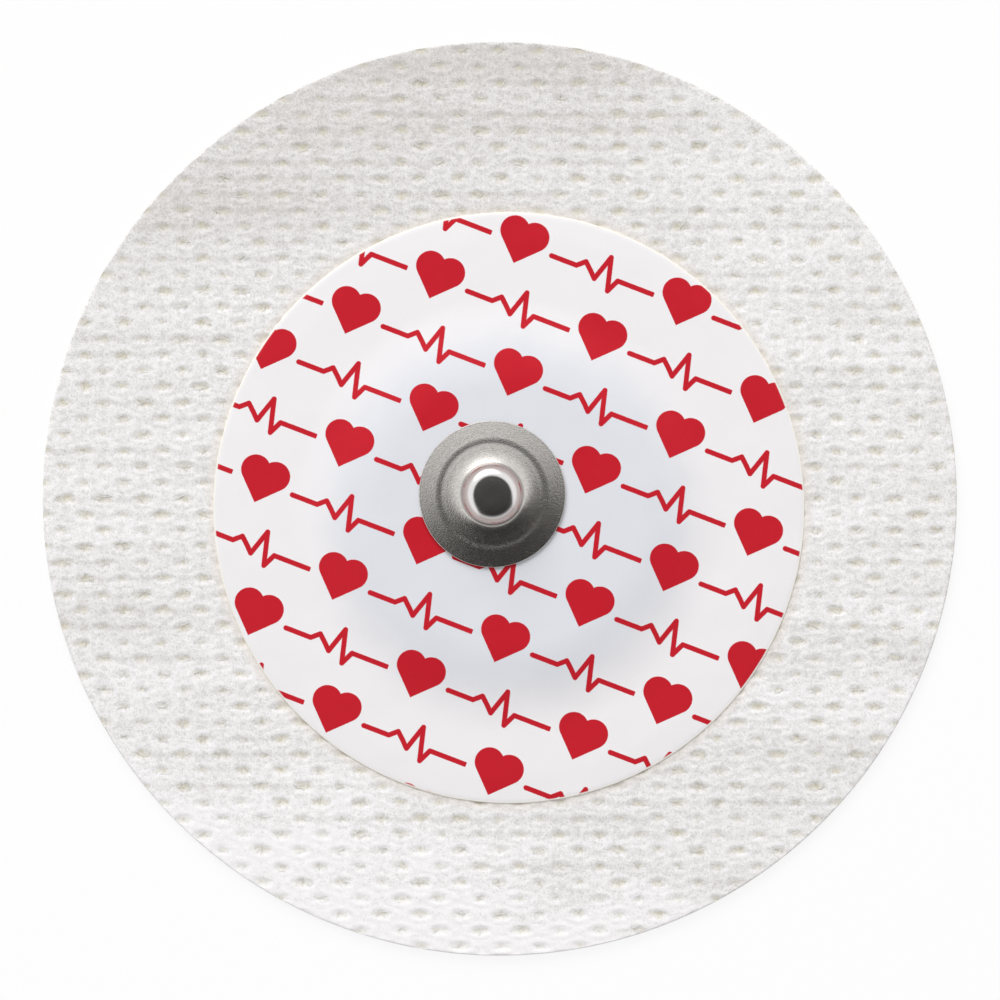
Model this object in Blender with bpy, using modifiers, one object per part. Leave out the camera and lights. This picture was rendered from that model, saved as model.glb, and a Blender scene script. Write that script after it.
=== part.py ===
"""A round stick-on ECG electrode, lying on its skin side.

A soft cloth disc has a sticky underside and a round well punched near its middle. A gel pad fills the
well. A film label bridges the well, rises over the pad and is stuck down on the cloth round it. A drawn
metal stud stands on the label, and the post of the sensing eyelet, whose flange is bedded in the gel,
is pressed up into it through a hole in the label.

Metres, +Z up. Z = 0 is the skin side and the origin is under the middle of the cloth disc.
"""

import math
import random

import bmesh
import bpy
from mathutils import Matrix, Vector

# Thicknesses of the laminate
CLOTH_THICKNESS = 0.00046
ADHESIVE_THICKNESS = 0.00008
LABEL_THICKNESS = 0.00013
PAD_THICKNESS = 0.00120

# Rings of the laminate, from the gel pad outwards, which make the cloth 60 mm across
PAD_DIAMETER = 0.0170
WELL_MARGIN = 0.0042  # open ring between the pad and the cloth
LABEL_LAND = 0.0067  # ring of cloth that the label is stuck to
CLOTH_BORDER = 0.0106  # ring of cloth outside the label
PAD_EDGE_RADIUS = 0.00022

# Where each is laid down, against the middle of the cloth
WELL_CENTRE = Vector((0.00050, -0.00105))
LABEL_CENTRE = Vector((0.00060, -0.00060))
STUD_CENTRE = Vector((-0.00050, 0.00030))

# Pits that the water jets leave in the cloth, in staggered rows
PIT_LENGTH = 0.00150
PIT_WIDTH = 0.00076
PIT_DEPTH = 0.00030
PIT_BRIDGE = 0.00110  # cloth left between two pits of a row
ROW_BRIDGE = 0.00029  # cloth left between two rows
PIT_UNEVENNESS = 0.20  # share by which a pit's size may differ
PIT_WANDER = 0.00008  # how far a pit may lie from its place in the row
PIT_OVERCUT = 1.3  # how much larger than its pit a cutter is, so that it stands out of the cloth
PIT_SEED = 7

# Snap stud, drawn from sheet: its section from the ball outwards and down
STUD_SHEET = 0.00022
BALL_DIAMETER = 0.00406
BALL_ROUND = 0.00090  # radius of the ball's section
NECK_UNDERCUT = 0.00028  # how far the neck lies inside the ball's widest place
NECK_LENGTH = 0.00010
NECK_FILLET = 0.00066
CROWN_WIDTH = 0.00109
CROWN_RISE = 0.00013
CROWN_FALL = 0.18  # how steeply the crown leaves the fillet, before it levels out in the groove
FLANGE_WIDTH = 0.00130
FLANGE_RISE = 0.00011
FLANGE_FALL = 0.15  # how steeply the flange reaches its rim

# Sensing eyelet
EYELET_FLANGE_DIAMETER = 0.0084
EYELET_FLANGE_THICKNESS = 0.00036
EYELET_EDGE_RADIUS = 0.00012
POST_TIP_TAPER = 0.00030
POST_TIP_LENGTH = 0.00060

# Print on the label: sloping rows of hearts, with a heartbeat trace to the right of each
PRINT_SLOPE = math.radians(-21)
PRINT_ROW_PITCH = 0.00415
HEART_PITCH = 0.0114
HEART_SHIFT = 0.00433  # how far each row is shifted along from the one below
HEART_DIAGONAL = 0.00275  # of the square that carries the heart's lobes
TRACE_WIDTH = 0.00034
TRACE_POINTS = (
    (0.00215, 0.0),
    (0.00390, 0.0),
    (0.00440, 0.00045),
    (0.00490, 0.0),
    (0.00530, -0.00040),
    (0.00585, 0.00130),
    (0.00640, -0.00085),
    (0.00680, 0.0),
    (0.00925, 0.0),
)

# Clearances
GLUE_LINE = 0.00003  # between faces that are stuck or pressed together
PRESS_CLEARANCE = 0.00003  # round the post inside the stud
HOLE_CLEARANCE = 0.00012  # round the post in the label's hole
WELD = 0.000005  # points of a turned piece that lie closer than this are one

# Facets round the turned pieces and along their rounded sections
OUTLINE_STEPS = 80
PIT_SIDES = 6
LABEL_STEPS = 40
STUD_STEPS = 30
EYELET_STEPS = 24
PAD_STEPS = 32
BALL_FACETS = 6
FILLET_FACETS = 4
EDGE_FACETS = 2
CROWN_FACETS = 4
FLANGE_FACETS = 3
SLOPE_FACETS = 4
SHARP_ANGLE = math.radians(32)

# Radii and pitches that follow
WELL_RADIUS = PAD_DIAMETER / 2 + WELL_MARGIN
LABEL_RADIUS = WELL_RADIUS + LABEL_LAND
CLOTH_RADIUS = LABEL_RADIUS + CLOTH_BORDER
PIT_PITCH = PIT_LENGTH + PIT_BRIDGE
ROW_PITCH = PIT_WIDTH + ROW_BRIDGE
NECK_RADIUS = BALL_DIAMETER / 2 - NECK_UNDERCUT
BOSS_RADIUS = NECK_RADIUS + NECK_FILLET
GROOVE_RADIUS = BOSS_RADIUS + CROWN_WIDTH
FLANGE_RADIUS = GROOVE_RADIUS + FLANGE_WIDTH
POST_RADIUS = NECK_RADIUS - STUD_SHEET - PRESS_CLEARANCE
STUD_OFF_WELL = (STUD_CENTRE - WELL_CENTRE).length

# Heights that follow
SKIN_SIDE = 0.0
CLOTH_BOTTOM = SKIN_SIDE + ADHESIVE_THICKNESS + GLUE_LINE
CLOTH_TOP = CLOTH_BOTTOM + CLOTH_THICKNESS
PAD_TOP = SKIN_SIDE + PAD_THICKNESS
LABEL_LAND_BOTTOM = CLOTH_TOP + GLUE_LINE
LABEL_CROWN_BOTTOM = PAD_TOP + GLUE_LINE
LABEL_CROWN_TOP = LABEL_CROWN_BOTTOM + LABEL_THICKNESS
STUD_BOTTOM = LABEL_CROWN_TOP + GLUE_LINE
EYELET_TOP_FACE = LABEL_CROWN_BOTTOM - GLUE_LINE
EYELET_BOTTOM = EYELET_TOP_FACE - EYELET_FLANGE_THICKNESS

# Heights on the stud's outer face, over the underside of its rim
RIM_TOP = STUD_SHEET
GROOVE = RIM_TOP + FLANGE_RISE
BOSS_FOOT = GROOVE + CROWN_RISE
NECK_FOOT = BOSS_FOOT + NECK_FILLET
NECK_TOP = NECK_FOOT + NECK_LENGTH
BALL_CENTRE_RADIUS = BALL_DIAMETER / 2 - BALL_ROUND
BALL_UNDERCUT = math.acos(1 - NECK_UNDERCUT / BALL_ROUND)
BALL_CENTRE = NECK_TOP + BALL_ROUND * math.sin(BALL_UNDERCUT)
STUD_HEIGHT = BALL_CENTRE + BALL_ROUND


def clear_scene():
    """Removes every object that the scene starts with."""
    for obj in list(bpy.data.objects):
        bpy.data.objects.remove(obj, do_unlink=True)


def new_collection(name):
    """Adds a collection to the scene and returns it."""
    made = bpy.data.collections.new(name)
    bpy.context.scene.collection.children.link(made)
    return made


def new_material(name, colour, roughness, metallic=0.0):
    """A Principled material of one colour, given as linear red, green and blue."""
    made = bpy.data.materials.new(name)
    made.use_nodes = True
    made.diffuse_color = (*colour, 1.0)
    shader = made.node_tree.nodes["Principled BSDF"]
    shader.inputs["Base Color"].default_value = (*colour, 1.0)
    shader.inputs["Roughness"].default_value = roughness
    shader.inputs["Metallic"].default_value = metallic
    return made


def add_node(tree, kind, *values, **settings):
    """Adds a node with the given settings, and feeds its inputs in order with sockets or values."""
    made = tree.nodes.new(kind)
    for name, setting in settings.items():
        setattr(made, name, setting)
    for socket, value in zip(made.inputs, values):
        if isinstance(value, bpy.types.NodeSocket):
            tree.links.new(value, socket)
        else:
            socket.default_value = value
    return made


def math_of(tree, operation, *values):
    """The output of a Math node."""
    return add_node(tree, "ShaderNodeMath", *values, operation=operation).outputs["Value"]


def vector_of(tree, operation, *values, output="Vector"):
    """An output of a Vector Math node."""
    return add_node(tree, "ShaderNodeVectorMath", *values, operation=operation).outputs[output]


def outside_heart(tree, x, y):
    """Above 0 outside a heart, which is a square standing on its corner, with a round lobe on each side."""
    half = HEART_DIAGONAL / 2
    across = math_of(tree, "ABSOLUTE", x)
    square = math_of(tree, "ADD", across, math_of(tree, "ABSOLUTE", y))
    point = add_node(tree, "ShaderNodeCombineXYZ", across, y).outputs["Vector"]
    lobe_middle = Vector((half / 2, half / 2, 0.0))
    lobe = vector_of(tree, "DISTANCE", point, lobe_middle, output="Value")
    lobe = math_of(tree, "SUBTRACT", lobe, lobe_middle.length)
    return math_of(tree, "MINIMUM", math_of(tree, "SUBTRACT", square, half), lobe)


def outside_trace(tree, x, y):
    """Above 0 outside the heartbeat trace, a line of even width through its points."""
    point = add_node(tree, "ShaderNodeCombineXYZ", x, y).outputs["Vector"]
    nearest = HEART_PITCH
    for start, end in zip(TRACE_POINTS, TRACE_POINTS[1:]):
        start, run = Vector((*start, 0.0)), Vector((*end, 0.0)) - Vector((*start, 0.0))
        aside = vector_of(tree, "SUBTRACT", point, start)
        share = vector_of(tree, "DOT_PRODUCT", aside, run / run.length_squared, output="Value")
        share = math_of(tree, "MINIMUM", math_of(tree, "MAXIMUM", share, 0.0), 1.0)
        foot = vector_of(tree, "MULTIPLY", share, run)
        off = vector_of(tree, "DISTANCE", aside, foot, output="Value")
        nearest = math_of(tree, "MINIMUM", nearest, off)
    return math_of(tree, "SUBTRACT", nearest, TRACE_WIDTH / 2)


def print_hearts(material, ink):
    """Prints the label's rows of hearts and traces on a material that is one colour so far."""
    tree = material.node_tree
    base = tree.nodes["Principled BSDF"].inputs["Base Color"]
    point = add_node(tree, "ShaderNodeTexCoord").outputs["Object"]
    point = vector_of(tree, "SUBTRACT", point, (LABEL_CENTRE - WELL_CENTRE).to_3d())
    levelled = add_node(tree, "ShaderNodeMapping", point, Vector(), Vector((0.0, 0.0, -PRINT_SLOPE)))
    along, across, _ = add_node(tree, "ShaderNodeSeparateXYZ", levelled.outputs["Vector"]).outputs
    row = math_of(tree, "ROUND", math_of(tree, "DIVIDE", across, PRINT_ROW_PITCH))
    y = math_of(tree, "SUBTRACT", across, math_of(tree, "MULTIPLY", row, PRINT_ROW_PITCH))
    along = math_of(tree, "SUBTRACT", along, math_of(tree, "MULTIPLY", row, HEART_SHIFT))
    motif_end = TRACE_POINTS[-1][0] + TRACE_WIDTH
    x = math_of(tree, "WRAP", along, motif_end, motif_end - HEART_PITCH)
    outside = math_of(tree, "MINIMUM", outside_heart(tree, x, y), outside_trace(tree, x, y))
    ramp = add_node(tree, "ShaderNodeValToRGB", math_of(tree, "GREATER_THAN", outside, 0.0))
    ramp.color_ramp.elements[0].color = (*ink, 1.0)
    ramp.color_ramp.elements[1].color = base.default_value
    tree.links.new(ramp.outputs["Color"], base)


def place(name, mesh, collection, centre=(0.0, 0.0), height=0.0):
    """Makes an object of the mesh, over the given centre and at the given height."""
    obj = bpy.data.objects.new(name, mesh)
    obj.location = (centre[0], centre[1], height)
    collection.objects.link(obj)
    return obj


def mesh_from(name, bm):
    """Turns a bmesh into a mesh and frees it."""
    mesh = bpy.data.meshes.new(name)
    bm.to_mesh(mesh)
    bm.free()
    return mesh


def arc(centre, radius, start, end, facets):
    """Points of an arc in the profile plane, from one angle to another, both in degrees."""
    angles = [math.radians(start + (end - start) * i / facets) for i in range(facets + 1)]
    return [(centre[0] + radius * math.cos(a), centre[1] + radius * math.sin(a)) for a in angles]


def bent_slope(inner, outer, facets, inner_fall=0.0, outer_fall=0.0):
    """Points of a slope from one (radius, height) to another, with how steeply it falls at its ends."""
    width, drop = outer[0] - inner[0], outer[1] - inner[1]
    points = []
    for i in range(facets + 1):
        t = i / facets
        level = drop * t * t * (3 - 2 * t)
        tilt = width * t * (1 - t) * (outer_fall * t - inner_fall * (1 - t))
        points.append((inner[0] + width * t, inner[1] + level + tilt))
    return points


def turned(name, profile, steps, collection, centre=(0.0, 0.0), height=0.0):
    """Turns a profile of (radius, height) points, listed down its outer side, about the Z axis."""
    bm = bmesh.new()
    points = [bm.verts.new((radius, 0.0, z)) for radius, z in profile]
    for first, second in zip(points, points[1:]):
        bm.edges.new((first, second))
    obj = place(name, mesh_from(name, bm), collection, centre, height)
    screw = obj.modifiers.new("Turn", "SCREW")
    screw.axis = "Z"
    screw.steps = screw.render_steps = steps
    screw.use_merge_vertices = True
    screw.merge_threshold = WELD
    return obj


def cylinder(name, radius, low, high, steps, collection, centre=(0.0, 0.0)):
    """A closed cylinder between two heights."""
    bm = bmesh.new()
    middle = Matrix.Translation((0.0, 0.0, (low + high) / 2))
    bmesh.ops.create_cone(
        bm, cap_ends=True, segments=steps, radius1=radius, radius2=radius, depth=high - low, matrix=middle
    )
    return place(name, mesh_from(name, bm), collection, centre)


def make_cutter(obj):
    """Keeps a helper out of renders and draws it as wire."""
    obj.hide_render = True
    obj.display_type = "WIRE"
    return obj


def combine(obj, other, operation):
    """Adds a Boolean with the other object to this one."""
    modifier = obj.modifiers.new(f"{operation.title()} {other.name}", "BOOLEAN")
    modifier.object = other
    modifier.operation = operation
    modifier.solver = "EXACT"


def finish(obj, material):
    """Applies the object's modifiers, gives it its material and shades it smooth between its edges."""
    bpy.context.view_layer.update()
    evaluated = obj.evaluated_get(bpy.context.evaluated_depsgraph_get())
    mesh = bpy.data.meshes.new_from_object(evaluated)
    mesh.name = obj.name
    obj.modifiers.clear()
    obj.data = mesh
    mesh.materials.clear()
    mesh.materials.append(material)
    mesh.shade_smooth()
    mesh.set_sharp_from_angle(angle=SHARP_ANGLE)
    return obj


def pit_places():
    """The middles of the pits that the label leaves open, in rows staggered by half a pitch."""
    reach = CLOTH_RADIUS + PIT_LENGTH / 2
    hidden = LABEL_RADIUS - PIT_LENGTH / 2
    rows, columns = math.ceil(reach / ROW_PITCH), math.ceil(reach / PIT_PITCH)
    for row in range(-rows, rows + 1):
        for column in range(-columns, columns + 1):
            middle = Vector(((column + row % 2 / 2) * PIT_PITCH, row * ROW_PITCH))
            if middle.length < reach and (middle - LABEL_CENTRE).length > hidden:
                yield middle


def pit_cutters(collection):
    """One oval cone, point down, for each pit, all in one mesh that is cut from the cloth."""
    waver = random.Random(PIT_SEED)
    stand_on_point = Matrix.Translation((0, 0, 0.5))
    bm = bmesh.new()
    for middle in pit_places():
        size = 1 + waver.uniform(-PIT_UNEVENNESS, PIT_UNEVENNESS)
        aside = Vector((waver.uniform(-PIT_WANDER, PIT_WANDER), waver.uniform(-PIT_WANDER, PIT_WANDER)))
        point = Matrix.Translation((*(middle + aside), CLOTH_TOP - PIT_DEPTH * size))
        spread = Vector((PIT_LENGTH / 2, PIT_WIDTH / 2, PIT_DEPTH)) * size * PIT_OVERCUT
        oval = Matrix.Diagonal((*spread, 1))
        bmesh.ops.create_cone(
            bm,
            cap_ends=True,
            segments=PIT_SIDES,
            radius1=0,
            radius2=1,
            depth=1,
            matrix=point @ oval @ stand_on_point,
        )
    return make_cutter(place("pit_jets", mesh_from("pit_jets", bm), collection))


def label_profile():
    """The film's underside, from its middle to beyond its edge: crown, slope and land on the cloth."""
    under_stud = STUD_OFF_WELL + max(EYELET_FLANGE_DIAMETER / 2, FLANGE_RADIUS)
    crown_radius = max(PAD_DIAMETER / 2, under_stud)
    slope_end = max(WELL_RADIUS, crown_radius + WELL_MARGIN)
    past_edge = slope_end + LABEL_RADIUS + (LABEL_CENTRE - WELL_CENTRE).length
    slope = bent_slope((crown_radius, LABEL_CROWN_BOTTOM), (slope_end, LABEL_LAND_BOTTOM), SLOPE_FACETS)
    return [(0.0, LABEL_CROWN_BOTTOM), *slope, (past_edge, LABEL_LAND_BOTTOM)]


def stud_profile():
    """The stud's outer face, from the middle of its top down to the rim of its flange."""
    ball = arc((BALL_CENTRE_RADIUS, BALL_CENTRE), BALL_ROUND, 90, -math.degrees(BALL_UNDERCUT), BALL_FACETS)
    fillet_end = 270 - math.degrees(math.atan(CROWN_FALL))
    fillet = arc((BOSS_RADIUS, NECK_FOOT), NECK_FILLET, 180, fillet_end, FILLET_FACETS)
    groove = (GROOVE_RADIUS, GROOVE)
    crown = bent_slope(fillet[-1], groove, CROWN_FACETS, CROWN_FALL)
    flange = bent_slope(groove, (FLANGE_RADIUS, RIM_TOP), FLANGE_FACETS, 0.0, FLANGE_FALL)
    return [(0.0, STUD_HEIGHT), *ball, *fillet, *crown[1:], *flange[1:]]


def make_cloth_backing(nodes, cutters, well, material):
    """The cloth: a round disc with its well punched out and its rows of pits pressed in."""
    cloth = cylinder("cloth_backing", CLOTH_RADIUS, CLOTH_BOTTOM, CLOTH_TOP, OUTLINE_STEPS, nodes)
    combine(cloth, well, "DIFFERENCE")
    combine(cloth, pit_cutters(cutters), "DIFFERENCE")
    return finish(cloth, material)


def make_skin_adhesive(nodes, well, material):
    """The adhesive coat on the cloth's skin side, punched with it."""
    coat_top = SKIN_SIDE + ADHESIVE_THICKNESS
    coat = cylinder("skin_adhesive", CLOTH_RADIUS, SKIN_SIDE, coat_top, OUTLINE_STEPS, nodes)
    combine(coat, well, "DIFFERENCE")
    return finish(coat, material)


def make_print_label(nodes, cutters, printed, plain):
    """The label: a film formed over the pad, cut to a round outline and holed for the eyelet's post."""
    label = turned("print_label", label_profile(), LABEL_STEPS, nodes, WELL_CENTRE)
    film = label.modifiers.new("Film", "SOLIDIFY")
    film.thickness = LABEL_THICKNESS
    film.offset = 1.0
    film.use_even_offset = True
    low, high = SKIN_SIDE, LABEL_CROWN_TOP + STUD_SHEET
    die = cylinder("label_die", LABEL_RADIUS, low, high, OUTLINE_STEPS, cutters, LABEL_CENTRE)
    hole_radius = POST_RADIUS + HOLE_CLEARANCE
    punch = cylinder("label_hole_punch", hole_radius, low, high, STUD_STEPS, cutters, STUD_CENTRE)
    combine(label, make_cutter(die), "INTERSECT")
    combine(label, make_cutter(punch), "DIFFERENCE")
    finish(label, printed)
    label.data.materials.append(plain)
    for face in label.data.polygons:
        face.material_index = 1 if face.normal.z < 0 else 0
    return label


def make_snap_stud(nodes, material):
    """The stud: one sheet drawn into flange, crown, neck and ball, open underneath."""
    stud = turned("snap_stud", stud_profile(), STUD_STEPS, nodes, STUD_CENTRE, STUD_BOTTOM)
    sheet = stud.modifiers.new("Sheet", "SOLIDIFY")
    sheet.thickness = STUD_SHEET
    sheet.offset = -1.0
    sheet.use_even_offset = True
    return finish(stud, material)


def make_eyelet(nodes, material):
    """The sensing eyelet: a thin flange bedded in the gel and the post that is pressed into the stud."""
    tip = STUD_BOTTOM + STUD_HEIGHT - STUD_SHEET - PRESS_CLEARANCE
    edge, rim = EYELET_EDGE_RADIUS, EYELET_FLANGE_DIAMETER / 2
    profile = [(0.0, tip), (POST_RADIUS - POST_TIP_TAPER, tip), (POST_RADIUS, tip - POST_TIP_LENGTH)]
    profile.append((POST_RADIUS, EYELET_TOP_FACE))
    profile += arc((rim - edge, EYELET_TOP_FACE - edge), edge, 90, 0, EDGE_FACETS)
    profile += arc((rim - edge, EYELET_BOTTOM + edge), edge, 0, -90, EDGE_FACETS)
    profile.append((0.0, EYELET_BOTTOM))
    return finish(turned("eyelet", profile, EYELET_STEPS, nodes, STUD_CENTRE), material)


def make_gel_pad(nodes, cutters, material):
    """The gel pad: a round sponge full of gel, with the bed that the eyelet's flange presses into it."""
    edge, rim = PAD_EDGE_RADIUS, PAD_DIAMETER / 2
    profile = [(0.0, PAD_TOP)]
    profile += arc((rim - edge, PAD_TOP - edge), edge, 90, 0, EDGE_FACETS)
    profile += arc((rim - edge, SKIN_SIDE + edge), edge, 0, -90, EDGE_FACETS)
    profile.append((0.0, SKIN_SIDE))
    pad = turned("gel_pad", profile, PAD_STEPS, nodes, WELL_CENTRE)
    bed_radius = EYELET_FLANGE_DIAMETER / 2 + GLUE_LINE
    low, high = EYELET_BOTTOM - GLUE_LINE, PAD_TOP + PAD_THICKNESS
    bed = cylinder("eyelet_bed", bed_radius, low, high, PAD_STEPS, cutters, STUD_CENTRE)
    combine(pad, make_cutter(bed), "DIFFERENCE")
    return finish(pad, material)


def main():
    """Builds the electrode's six pieces, from the skin side up."""
    clear_scene()
    nodes = new_collection("ecg_electrode")
    cutters = new_collection("cutters")

    cloth_white = new_material("white_nonwoven_cloth", (0.79, 0.775, 0.75), 0.92)
    adhesive_clear = new_material("clear_skin_adhesive", (0.80, 0.78, 0.70), 0.28)
    film_colour = (0.84, 0.83, 0.835)
    film_plain = new_material("plain_label_film", film_colour, 0.38)
    film_printed = new_material("printed_label_film", film_colour, 0.38)
    print_hearts(film_printed, (0.54, 0.012, 0.034))
    nickel = new_material("satin_nickel", (0.60, 0.58, 0.55), 0.30, 1.0)
    sensor_silver = new_material("silver_chloride_coat", (0.46, 0.45, 0.47), 0.55, 0.4)
    gel = new_material("pale_gel_sponge", (0.74, 0.80, 0.83), 0.18)

    above = CLOTH_TOP + CLOTH_THICKNESS
    below = SKIN_SIDE - CLOTH_THICKNESS
    well = make_cutter(cylinder("well_punch", WELL_RADIUS, below, above, OUTLINE_STEPS, cutters, WELL_CENTRE))

    make_skin_adhesive(nodes, well, adhesive_clear)
    make_cloth_backing(nodes, cutters, well, cloth_white)
    make_gel_pad(nodes, cutters, gel)
    make_eyelet(nodes, sensor_silver)
    make_print_label(nodes, cutters, film_printed, film_plain)
    make_snap_stud(nodes, nickel)


main()
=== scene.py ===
"""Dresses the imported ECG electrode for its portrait.

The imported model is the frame: six pieces that lie on each other in one body. This script gives each its
finish. The pitted cloth, the label, the drawn stud, the gel pad and the adhesive coat are made again with
the detail that a close look shows, and the sensing eyelet keeps its solid. A floor, soft lamps and a
camera straight above complete the scene.
"""

from __future__ import annotations

import logging
import math
from dataclasses import dataclass, field
from enum import Enum
from typing import Any, NamedTuple, Optional, Union

import bmesh
import bpy
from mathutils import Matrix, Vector

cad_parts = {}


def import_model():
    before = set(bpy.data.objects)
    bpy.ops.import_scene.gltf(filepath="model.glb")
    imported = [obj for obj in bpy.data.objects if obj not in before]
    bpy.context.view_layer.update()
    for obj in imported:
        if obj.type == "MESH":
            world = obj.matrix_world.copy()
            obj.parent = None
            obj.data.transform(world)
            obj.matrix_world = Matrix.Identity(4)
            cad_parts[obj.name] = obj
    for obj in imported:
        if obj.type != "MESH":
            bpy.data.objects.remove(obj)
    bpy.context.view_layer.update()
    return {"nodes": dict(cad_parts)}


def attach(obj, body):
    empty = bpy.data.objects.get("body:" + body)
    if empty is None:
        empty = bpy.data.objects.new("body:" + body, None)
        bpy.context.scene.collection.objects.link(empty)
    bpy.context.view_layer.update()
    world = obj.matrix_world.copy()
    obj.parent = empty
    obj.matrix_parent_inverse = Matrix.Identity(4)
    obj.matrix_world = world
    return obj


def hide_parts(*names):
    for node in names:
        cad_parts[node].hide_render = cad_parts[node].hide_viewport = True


LOG = logging.getLogger("ecg_electrode")
MM = 0.001
BODY = "root"


# Node trees


class MixKind(Enum):
    """What a Mix node mixes: its data type, its first input's index and its output's index."""

    NUMBER = ("FLOAT", 2, 0)
    COLOUR = ("RGBA", 6, 2)


class Wire:
    """An output socket that takes Python's arithmetic and adds the Math nodes for it."""

    def __init__(self, graph: "Graph", socket: bpy.types.NodeSocket) -> None:
        """Wraps a socket of a graph."""
        self.graph = graph
        self.socket = socket

    def __add__(self, other: "Value") -> "Wire":
        """self + other."""
        return self.graph.math("ADD", self, other)

    __radd__ = __add__

    def __sub__(self, other: "Value") -> "Wire":
        """self - other."""
        return self.graph.math("SUBTRACT", self, other)

    def __rsub__(self, other: "Value") -> "Wire":
        """other - self."""
        return self.graph.math("SUBTRACT", other, self)

    def __mul__(self, other: "Value") -> "Wire":
        """self * other."""
        return self.graph.math("MULTIPLY", self, other)

    __rmul__ = __mul__

    def __truediv__(self, other: "Value") -> "Wire":
        """self / other."""
        return self.graph.math("DIVIDE", self, other)

    def __pow__(self, other: "Value") -> "Wire":
        """self ** other."""
        return self.graph.math("POWER", self, other)

    def __abs__(self) -> "Wire":
        """abs(self)."""
        return self.graph.math("ABSOLUTE", self)

    def __gt__(self, other: "Value") -> "Wire":
        """1 where self is greater than other, else 0."""
        return self.graph.math("GREATER_THAN", self, other)

    def __lt__(self, other: "Value") -> "Wire":
        """1 where self is less than other, else 0."""
        return self.graph.math("LESS_THAN", self, other)


Value = Union[Wire, float]
Colour = tuple[float, float, float]
Point = tuple[float, float]


class Graph:
    """A node tree, with one call for each kind of node that the finishes use."""

    COLUMN = 12
    SPACING = (200, -170)

    def __init__(self, tree: bpy.types.NodeTree) -> None:
        """Empties the tree and keeps it."""
        self.tree = tree
        tree.nodes.clear()

    def node(
        self,
        kind: str,
        settings: Optional[dict[str, Any]] = None,
        sockets: Optional[dict[Any, Any]] = None,
    ) -> bpy.types.Node:
        """Adds a node.

        Args:
            kind: the node's type.
            settings: its properties, which are set first.
            sockets: values or wires for its inputs, by name or by index.

        Returns:
            The new node.
        """
        made = self.tree.nodes.new(kind)
        column, row = divmod(len(self.tree.nodes), self.COLUMN)
        made.location = (self.SPACING[0] * column, self.SPACING[1] * row)
        for name, value in (settings or {}).items():
            setattr(made, name, value)
        for key, value in (sockets or {}).items():
            self.feed(made.inputs[key], value)
        return made

    def wire(
        self,
        kind: str,
        settings: Optional[dict[str, Any]] = None,
        sockets: Optional[dict[Any, Any]] = None,
        output: Any = 0,
    ) -> Wire:
        """Adds a node, as node does, and returns one of its outputs, by index or by name."""
        return Wire(self, self.node(kind, settings, sockets).outputs[output])

    def feed(self, socket: bpy.types.NodeSocket, value: Any) -> None:
        """Links a wire to an input, or sets the input's own value.

        Args:
            socket: the input.
            value: the wire or the value.
        """
        if isinstance(value, Wire):
            self.tree.links.new(value.socket, socket)
        else:
            socket.default_value = value

    def math(self, operation: str, *values: Value) -> Wire:
        """One Math node."""
        return self.wire("ShaderNodeMath", {"operation": operation}, dict(enumerate(values)))

    def vector_math(self, operation: str, *values: Any, output: Any = 0) -> Wire:
        """One Vector Math node."""
        return self.wire("ShaderNodeVectorMath", {"operation": operation}, dict(enumerate(values)), output)

    def clamp(self, value: Value) -> Wire:
        """The value held between 0 and 1."""
        return self.wire("ShaderNodeClamp", None, {"Value": value})

    def split(self, vector: Wire) -> tuple[Wire, Wire, Wire]:
        """The three parts of a vector."""
        parts = self.node("ShaderNodeSeparateXYZ", None, {0: vector})
        return Wire(self, parts.outputs[0]), Wire(self, parts.outputs[1]), Wire(self, parts.outputs[2])

    def join(self, x: Value, y: Value, z: Value = 0.0) -> Wire:
        """A vector of three parts."""
        return self.wire("ShaderNodeCombineXYZ", None, {0: x, 1: y, 2: z})

    def fade(self, value: Value, none: Value, full: Value) -> Wire:
        """0 at one value and 1 at the other, with a smooth passage between."""
        settings = {"interpolation_type": "SMOOTHSTEP"}
        return self.wire("ShaderNodeMapRange", settings, {"Value": value, "From Min": none, "From Max": full})

    def mix(self, share: Value, first: Any, second: Any, kind: MixKind = MixKind.COLOUR) -> Wire:
        """One value that passes to another.

        Args:
            share: how much of the second value there is, from 0 to 1.
            first: the first value.
            second: the second value.
            kind: what the two are.

        Returns:
            The mixture.
        """
        data_type, at, output = kind.value
        sockets = {0: share, at: _rgba(first, kind), at + 1: _rgba(second, kind)}
        return self.wire("ShaderNodeMix", {"data_type": data_type}, sockets, output)

    def noise(self, vector: Wire, size: float, detail: float = 1.0, rough: float = 0.5) -> Wire:
        """Noise whose lumps are about the given size, in metres."""
        sockets = {"Vector": vector, "Scale": 1 / size, "Detail": detail, "Roughness": rough}
        return self.wire("ShaderNodeTexNoise", None, sockets)

    def turned(self, vector: Wire, degrees: float) -> Wire:
        """The vector turned about the Z axis."""
        sockets = {"Vector": vector, "Angle": math.radians(degrees)}
        return self.wire("ShaderNodeVectorRotate", {"rotation_type": "Z_AXIS"}, sockets)

    def stretched(self, vector: Wire, x: float, y: float, z: float = 1.0) -> Wire:
        """The vector's parts times the given numbers."""
        return self.vector_math("MULTIPLY", vector, (x, y, z))

    def place(self) -> Wire:
        """The place on the piece, in the piece's own coordinates."""
        return self.wire("ShaderNodeTexCoord", None, None, "Object")

    def flat(self, place: Wire) -> Wire:
        """A place without its height."""
        return self.stretched(place, 1, 1, 0)

    def distance(self, place: Wire, x: float, y: float) -> Wire:
        """How far a place is from an upright axis."""
        aside = self.vector_math("SUBTRACT", self.flat(place), (x, y, 0))
        return self.vector_math("LENGTH", aside, output="Value")


def _rgba(value: Any, kind: MixKind) -> Any:
    """A colour of three numbers with its fourth added, and anything else as it is."""
    return (*value, 1.0) if kind is MixKind.COLOUR and isinstance(value, tuple) else value


def shaded(colour: Colour, share: float) -> Colour:
    """A darker shade of a colour."""
    return tuple(share * part for part in colour)


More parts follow.
